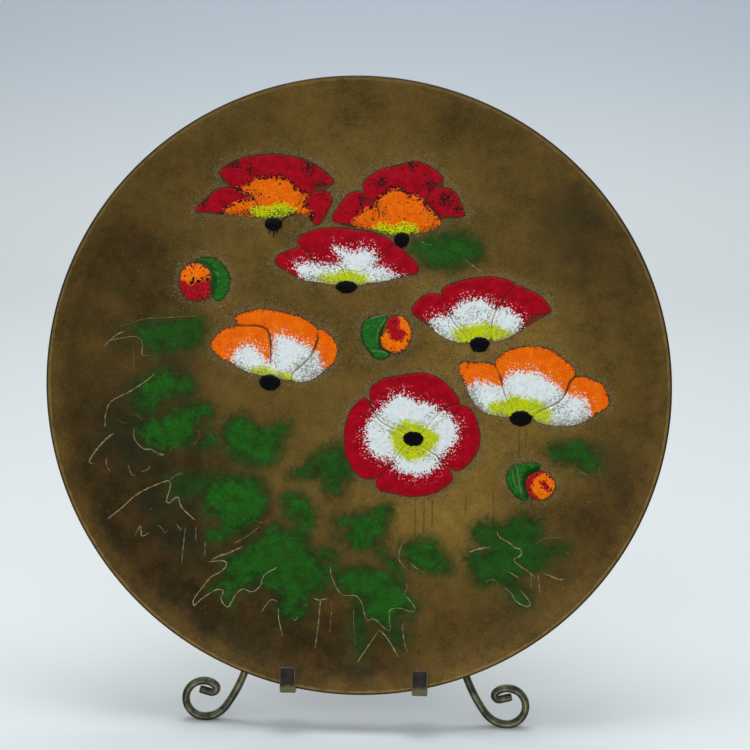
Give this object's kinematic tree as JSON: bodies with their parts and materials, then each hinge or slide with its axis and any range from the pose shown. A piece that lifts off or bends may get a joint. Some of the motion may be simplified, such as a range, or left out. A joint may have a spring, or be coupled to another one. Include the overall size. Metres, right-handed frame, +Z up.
{
  "type": "enamelled plate on easel",
  "caption": "Round shallow enamelled copper plate with raised poppy design, leaning on a folding scroll-foot easel with two rim hooks.",
  "frame": {"origin": "on the floor, under the middle of the whole object's box", "axes": "+Z up, the plate's face looks to -Y and slightly up, +X to the right seen from the front"},
  "size_m": [0.356, 0.1504, 0.3723],
  "materials": {
    "copper": "polished, darkened copper",
    "ground_enamel": "satin mottled brown",
    "back_enamel": "semi-gloss speckled",
    "red_enamel": "glossy",
    "orange_enamel": "glossy",
    "green_enamel": "glossy",
    "black_enamel": "glossy",
    "aged_brass": "dark antique, rubbed edges",
    "hook_brass": "dark antique, rubbed bends"
  },
  "bodies": {
    "easel_frame": {"crossbar": "aged_brass", "hinge_bracket": "aged_brass", "hinge_pin": "aged_brass", "left_bracket_rivet": "aged_brass", "left_hook": "hook_brass", "left_hook_rivet": "aged_brass", "left_leg": "aged_brass", "right_bracket_rivet": "aged_brass", "right_hook": "hook_brass", "right_hook_rivet": "aged_brass", "right_leg": "aged_brass"},
    "back_leg": {"back_leg": "aged_brass"},
    "plate": {"back_enamel": "back_enamel", "bud_1_petals": "orange_enamel", "bud_1_sepal": "green_enamel", "bud_2_petals": "orange_enamel", "bud_2_sepal": "green_enamel", "bud_3_petals": "orange_enamel", "bud_3_sepal": "green_enamel", "copper_plate": "copper", "front_enamel": "ground_enamel", "poppy_1_eye": "black_enamel", "poppy_1_petals": "red_enamel", "poppy_2_eye": "black_enamel", "poppy_2_petals": "red_enamel", "poppy_3_eye": "black_enamel", "poppy_3_petals": "red_enamel", "poppy_4_eye": "black_enamel", "poppy_4_petals": "red_enamel", "poppy_5_eye": "black_enamel", "poppy_5_petals": "orange_enamel", "poppy_6_eye": "black_enamel", "poppy_6_petals": "orange_enamel", "poppy_7_eye": "black_enamel", "poppy_7_petals": "red_enamel"}
  },
  "joints": [
    {"name": "back_leg_fold", "type": "hinge", "parent": "easel_frame", "child": "back_leg", "pos_m": [0, -0.0098, 0.18503], "axis": [1, 0, 0], "range_deg": [-33, 0]},
    {"name": "plate_lift", "type": "slide", "parent": "easel_frame", "child": "plate", "axis": [0, 0.2079, 0.9781], "range_m": [0, 0.03]}
  ]
}
